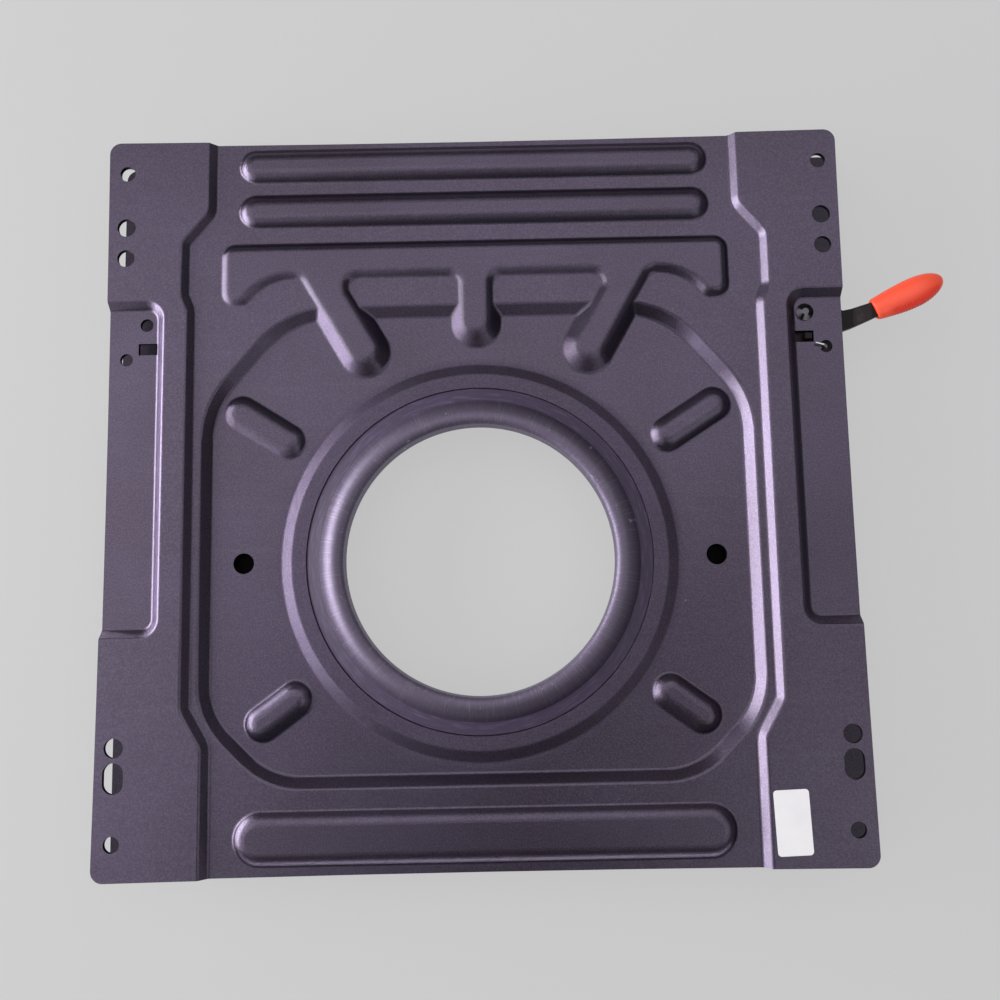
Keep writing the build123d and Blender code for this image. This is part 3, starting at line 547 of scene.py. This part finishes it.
def grip_plastic(props):
    """Moulded red plastic: painted shade as a deeper tone along the ribbed lower flank, and a soft moulded
    grain.
    """
    flank_rise, flank_fall, root_span, tip_span = (0.27, 0.36), (0.70, 0.62), (0.10, 0.25), (0.95, 0.85)
    grain_size, grain_share = 0.0005, 0.12
    roughness, grain_dulls, grain_depth, grain_strength = 0.30, 0.15, 0.00006, 0.7
    made, tree, shader, place = new_material("grip_plastic", Coat_Weight=0.15)
    grain = group_in(tree, "fine_grain", place, Size=grain_size)
    lay = split(tree, add_node(tree, "ShaderNodeUVMap", uv_map=GRIP_LAYOUT).outputs[0])
    # painted shade: the lower flank takes the darker red
    flank = product(tree, band_node(tree, lay["Y"], flank_rise, flank_fall),
                    band_node(tree, lay["X"], root_span, tip_span))
    tone = mix_color(tree, flank, props.color, props.flank_shade)
    tone = mix_color(tree, product(tree, grain["Mask"], grain_share), tone, props.pale)
    finish_shader(tree, shader, tone, raised(tree, roughness, grain["Height"], grain_dulls),
                  bump_node(tree, grain["Height"], grain_depth, grain_strength))
    return made


def label_film(props):
    """Blank label film: greyer patches, sparse specks and a faint fibre."""
    grain_size, soil_size, patch_share, speck_share = 0.0006, 0.02, 0.35, 0.4
    roughness, grain_dulls, grain_depth, grain_strength = 0.48, 0.2, 0.00003, 0.5
    made, tree, shader, place = new_material("label_film")
    grain = group_in(tree, "fine_grain", place, Size=grain_size)
    soil = group_in(tree, "soiling", place, Size=soil_size)
    tone = mix_color(tree, product(tree, soil["Patches"], patch_share), props.label, props.worn)
    tone = mix_color(tree, product(tree, soil["Specks"], speck_share), tone, props.specks)
    finish_shader(tree, shader, tone, raised(tree, roughness, grain["Height"], grain_dulls),
                  bump_node(tree, grain["Height"], grain_depth, grain_strength))
    return made


def floor_paper(props):
    """Pale floor: nearly even as it is seen and mirrored, with the object's soft shadow kept in it."""
    grain_size, grain_share, glow_strength, glow_share = 0.004, 0.04, 0.97, 0.84
    made, tree, shader, place = new_material("floor_paper", Roughness=0.9)
    grain = group_in(tree, "fine_grain", place, Size=grain_size)
    tone = mix_color(tree, product(tree, grain["Mask"], grain_share), props.floor, props.fleck)
    tree.links.new(tone, shader.inputs["Base Color"])
    glow = add_node(tree, "ShaderNodeEmission", {"Color": (*props.floor, 1.0), "Strength": glow_strength})
    dim = add_node(tree, "ShaderNodeBsdfDiffuse", {"Color": (*props.dim, 1.0)})
    path = tree.nodes.new("ShaderNodeLightPath").outputs
    shown = largest(tree, path["Is Camera Ray"], path["Is Glossy Ray"], path["Is Transmission Ray"])
    even = mix_shader(tree, glow_share, shader, glow)
    seen = mix_shader(tree, shown, dim, even)
    tree.links.new(seen.outputs[0], tree.nodes["Material Output"].inputs["Surface"])
    return made


def mix_shader(tree, share, first, second):
    """A shader between two; the share is a socket or a number."""
    made = tree.nodes.new("ShaderNodeMixShader")
    feed(tree, share, made.inputs["Fac"])
    tree.links.new(first.outputs[0], made.inputs[1])
    tree.links.new(second.outputs[0], made.inputs[2])
    return made


def dress(name, material):
    """Gives a solid of the frame its finish."""
    slots = NODES[name].data.materials
    slots.clear()
    slots.append(material)


def add_object(name, data):
    """An object at the origin, linked to the scene."""
    made = bpy.data.objects.new(name, data)
    bpy.context.scene.collection.objects.link(made)
    return made


def skin(name, rows, start, end, uv):
    """A mesh from rows of points round a closed ring, with a pole point at either end.

    rows is (n, m, 3): row i, point j. Face (i, j) joins rows i and i + 1 at points j and j + 1, where
    j + 1 wraps round. A pole closes its end with a fan of triangles. uv has a pair for each of the rows'
    points; the poles take the last one.
    """
    count, ring = rows.shape[:2]
    i, j = np.meshgrid(np.arange(count - 1), np.arange(ring), indexing="ij")
    after = (j + 1) % ring
    quads = np.stack((i * ring + j, i * ring + after, (i + 1) * ring + after, (i + 1) * ring + j), -1)
    spot = np.arange(ring)
    turn = (spot + 1) % ring
    first_pole, last_row = count * ring, (count - 1) * ring
    start_fan = np.stack((np.full(ring, first_pole), turn, spot), -1)
    end_fan = np.stack((np.full(ring, first_pole + 1), last_row + spot, last_row + turn), -1)
    points = np.concatenate((rows.reshape(-1, 3), [start], [end]))
    mesh = bpy.data.meshes.new(name)
    faces = quads.reshape(-1, 4).tolist() + start_fan.tolist() + end_fan.tolist()
    mesh.from_pydata(points.tolist(), [], faces)
    mesh.update()
    layer = mesh.uv_layers.new(name=GRIP_LAYOUT)
    corner = np.empty(len(mesh.loops), np.int32)
    mesh.loops.foreach_get("vertex_index", corner)
    layer.data.foreach_set("uv", uv[np.minimum(corner, len(uv) - 1)].astype(np.float32).ravel())
    mesh.polygons.foreach_set("use_smooth", np.ones(len(mesh.polygons), bool))
    return add_object(name, mesh)


def between(value, low, high, soft):
    """1 from low to high, with a straight rise and fall of the given width inside them, and 0 beyond."""
    return np.clip((value - low) / soft, 0.0, 1.0) * np.clip((high - value) / soft, 0.0, 1.0)


def grip_surface(props, root, ahead):
    """Closed grip form: ellipses carried along a gently bowed axis.

    The half width grows by a quarter sine from the root to the widest ring at share w, then falls as a
    blunt quarter superellipse to the tip: (1 - ((u - w) / (1 - w))^p)^(1 / p), with p = 2. The half
    depth follows the same form. Fine ribs cross the front flank: the form is drawn in by a cosine of the
    length, faded out at the ends of the ribbed strip.
    """
    widest, blunt, rows, ring = 0.56, 2.0, 340, 96
    root_width, root_depth, bow = 0.72, 0.78, -0.0006
    rim, rim_length = 0.86, 0.03
    rib_depth, strip_from, strip_to, strip_soft = 0.030, 0.62 * math.pi, 1.30 * math.pi, 0.4
    ribs_from, ribs_to, ribs_soft = 0.12, 0.93, 0.08
    u = np.sin(np.linspace(0.0, 0.5 * math.pi, rows))[:-1]
    v = np.linspace(0.0, 2.0 * math.pi, ring, endpoint=False)
    rise = np.sin(0.5 * math.pi * np.clip(u / widest, 0.0, 1.0))
    past = np.clip(u - widest, 0.0, 1.0) / (1.0 - widest)
    fall = np.clip(1.0 - past ** blunt, 0.0, 1.0) ** (1.0 / blunt)
    lip = np.sqrt(np.clip(u / rim_length, 0.0, 1.0)) * (1.0 - rim) + rim
    width = (root_width + (1.0 - root_width) * rise) * fall * lip * props.half_width
    depth = (root_depth + (1.0 - root_depth) * rise) * fall * lip * props.half_depth
    side = np.array((-ahead[1], ahead[0], 0.0))
    up = np.array((0.0, 0.0, 1.0))
    axis = root + np.outer(u, ahead) * props.length + np.outer(np.sin(math.pi * u) * bow, side)
    strip = between(v, strip_from, strip_to, strip_soft)
    ends = between(u, ribs_from, ribs_to, ribs_soft)
    groove = 0.5 - 0.5 * np.cos(2.0 * math.pi * props.ribs * u)
    drawn = 1.0 - rib_depth * np.outer(groove * ends, strip)
    points = (axis[:, None, :] + (width[:, None] * np.cos(v) * drawn)[..., None] * side
              + (depth[:, None] * np.sin(v) * drawn)[..., None] * up)
    grid = np.stack(np.broadcast_arrays(u[:, None], (v / (2.0 * math.pi))[None, :]), -1).reshape(-1, 2)
    return skin("grip", points, axis[0], root + ahead * props.length, grid)


class SWIVELBASE_OT_effects(bpy.types.Operator):
    """Builds the shared effects: grain, soiling, rubbed bends, streaks and dishing."""
    bl_idname = "swivelbase.effects"
    bl_label = "Shared effects"

    def execute(self, context):
        for build in (grain_group, soiling_group, rub_group, streak_group, dish_group):
            build()
        return {"FINISHED"}


class SWIVELBASE_OT_plates(bpy.types.Operator):
    """Gives the two pressed plates their satin coat; the lower one's is darkened as painted shade."""
    bl_idname = "swivelbase.plates"
    bl_label = "Pressed plates"

    def execute(self, context):
        # painted shade: the lower plate takes the same coat at 0.3 of its tone, as it lies under the upper
        # plate
        props, lower_painted_shade = context.scene.swivel_base.coat, 0.3
        dress("upper_plate", plate_coat(props, "plate_coat", 1.0, False))
        dress("lower_plate", plate_coat(props, "lower_plate_shaded_coat", lower_painted_shade, True))
        return {"FINISHED"}


class SWIVELBASE_OT_hub(bpy.types.Operator):
    """Gives the rolled hub ring and the slide rings their finish."""
    bl_idname = "swivelbase.hub"
    bl_label = "Hub and slide rings"

    def execute(self, context):
        props = context.scene.swivel_base.hub
        dress("hub_ring", hub_steel(props))
        plastic = slide_plastic(props)
        dress("upper_slide_ring", plastic)
        dress("lower_slide_ring", plastic)
        return {"FINISHED"}


class SWIVELBASE_OT_lever(bpy.types.Operator):
    """Coats the lever and builds the red grip on its end."""
    bl_idname = "swivelbase.lever"
    bl_label = "Lever and grip"

    def execute(self, context):
        props = context.scene.swivel_base.grip
        dress("lever", lever_coat(props))
        ahead = np.array((math.cos(GRIP_HEADING), math.sin(GRIP_HEADING), 0.0))
        made = grip_surface(props, np.array(GRIP_TIP) - ahead * props.length, ahead)
        made.data.materials.append(grip_plastic(props))
        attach(made, "lever")
        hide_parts("lever_grip")
        return {"FINISHED"}


class SWIVELBASE_OT_hardware(bpy.types.Operator):
    """Finishes the rivet, the washers and the spring."""
    bl_idname = "swivelbase.hardware"
    bl_label = "Rivet, washers and spring"

    def execute(self, context):
        props = context.scene.swivel_base.hardware
        zinc = plated_steel("zinc_steel", props.zinc, props.zinc_roughness)
        for name in ("pivot_rivet", "upper_washer", "lower_washer"):
            dress(name, zinc)
        dress("return_spring", plated_steel("spring_steel", props.wire, props.wire_roughness))
        return {"FINISHED"}


class SWIVELBASE_OT_label(bpy.types.Operator):
    """Gives the blank label its film."""
    bl_idname = "swivelbase.label"
    bl_label = "Label"

    def execute(self, context):
        dress("label", label_film(context.scene.swivel_base.hardware))
        return {"FINISHED"}


class SWIVELBASE_OT_stage(bpy.types.Operator):
    """Sets the floor, the soft lights and the camera."""
    bl_idname = "swivelbase.stage"
    bl_label = "Stage"

    def execute(self, context):
        scene, props = context.scene, context.scene.swivel_base.stage
        scene.view_settings.view_transform = "Standard"
        self.add_floor(props)
        self.add_camera(scene, props)
        for name, power, share, place, width, height, target in LAMPS:
            self.add_light(name, getattr(props, power) * share, place, width, height, target)
        self.add_sky(scene, props)
        return {"FINISHED"}

    def add_floor(self, props):
        """A level square, a hair under the part's foot."""
        reach, level = 30.0, -0.0002
        corners = [(x * reach, y * reach, level) for x, y in ((-1, -1), (1, -1), (1, 1), (-1, 1))]
        mesh = bpy.data.meshes.new("floor")
        mesh.from_pydata(corners, [], [(0, 1, 2, 3)])
        mesh.materials.append(floor_paper(props))
        made = add_object("floor", mesh)

    def add_camera(self, scene, props):
        """A camera at the eye, looking at the target, with the rear edge upwards."""
        eye, target, rear = Vector(props.eye), Vector(props.target), Vector((0.0, 1.0, 0.0))
        back = (eye - target).normalized()
        right = Matrix.Rotation(props.roll, 3, back) @ rear.cross(back).normalized()
        up = back.cross(right)
        data = bpy.data.cameras.new("camera")
        data.lens = props.lens
        data.sensor_width = props.sensor
        data.clip_start = 0.01
        made = add_object("camera", data)
        made.matrix_world = Matrix((right, up, back)).transposed().to_4x4()
        made.matrix_world.translation = eye
        scene.camera = made

    def add_light(self, name, power, place, width, height, target):
        """A soft rectangular light turned towards a point."""
        data = bpy.data.lights.new(name, "AREA")
        data.shape = "RECTANGLE"
        data.size = width
        data.size_y = height
        data.energy = power
        made = add_object(name, data)
        made.visible_camera = False
        aim = Vector(target) - Vector(place)
        made.matrix_world = aim.to_track_quat("-Z", "Y").to_matrix().to_4x4()
        made.matrix_world.translation = Vector(place)

    def add_sky(self, scene, props):
        """Even soft light; seen and mirrored, the surroundings fade from pale at the horizon to dark."""
        horizon, overhead, fade_rise = 0.42, 0.02, 0.32
        world = bpy.data.worlds.new("surroundings")
        world.use_nodes = True
        tree = world.node_tree
        sky = tree.nodes["Background"]
        sky.inputs["Color"].default_value = WHITE
        heading = tree.nodes.new("ShaderNodeTexCoord").outputs["Generated"]
        fade = add_node(tree, "ShaderNodeMapRange", {"From Min": 0.0, "From Max": fade_rise,
                                                     "To Min": horizon, "To Max": overhead},
                        interpolation_type="SMOOTHERSTEP")
        tree.links.new(split(tree, heading)["Z"], fade.inputs["Value"])
        path = tree.nodes.new("ShaderNodeLightPath")
        level = add_node(tree, "ShaderNodeMix", {"B": props.sky}, data_type="FLOAT")
        tree.links.new(path.outputs["Is Diffuse Ray"], level.inputs["Factor"])
        tree.links.new(fade.outputs["Result"], level.inputs["A"])
        tree.links.new(level.outputs[0], sky.inputs["Strength"])
        scene.world = world


class SWIVELBASE_PT_panel(bpy.types.Panel):
    """Lists the steps that dress the swivel base."""
    bl_idname = "SWIVELBASE_PT_panel"
    bl_label = "Swivel base"
    bl_space_type = "VIEW_3D"
    bl_region_type = "UI"
    bl_category = "Swivel base"

    def draw(self, context):
        for step in STEPS:
            self.layout.operator(step.bl_idname)


GROUPS = (CoatProps, HubProps, GripProps, HardwareProps, StageProps, SwivelBaseProps)
STEPS = (SWIVELBASE_OT_effects, SWIVELBASE_OT_plates, SWIVELBASE_OT_hub, SWIVELBASE_OT_lever,
         SWIVELBASE_OT_hardware, SWIVELBASE_OT_label, SWIVELBASE_OT_stage)
CLASSES = GROUPS + STEPS + (SWIVELBASE_PT_panel,)


def register():
    for made in CLASSES:
        bpy.utils.register_class(made)
    bpy.types.Scene.swivel_base = PointerProperty(type=SwivelBaseProps)


def unregister():
    del bpy.types.Scene.swivel_base
    for made in reversed(CLASSES):
        bpy.utils.unregister_class(made)


def main():
    register()
    bpy.ops.swivelbase.effects()
    bpy.ops.swivelbase.plates()
    bpy.ops.swivelbase.hub()
    bpy.ops.swivelbase.lever()
    bpy.ops.swivelbase.hardware()
    bpy.ops.swivelbase.label()
    bpy.ops.swivelbase.stage()


if __name__ == "__main__":
    main()
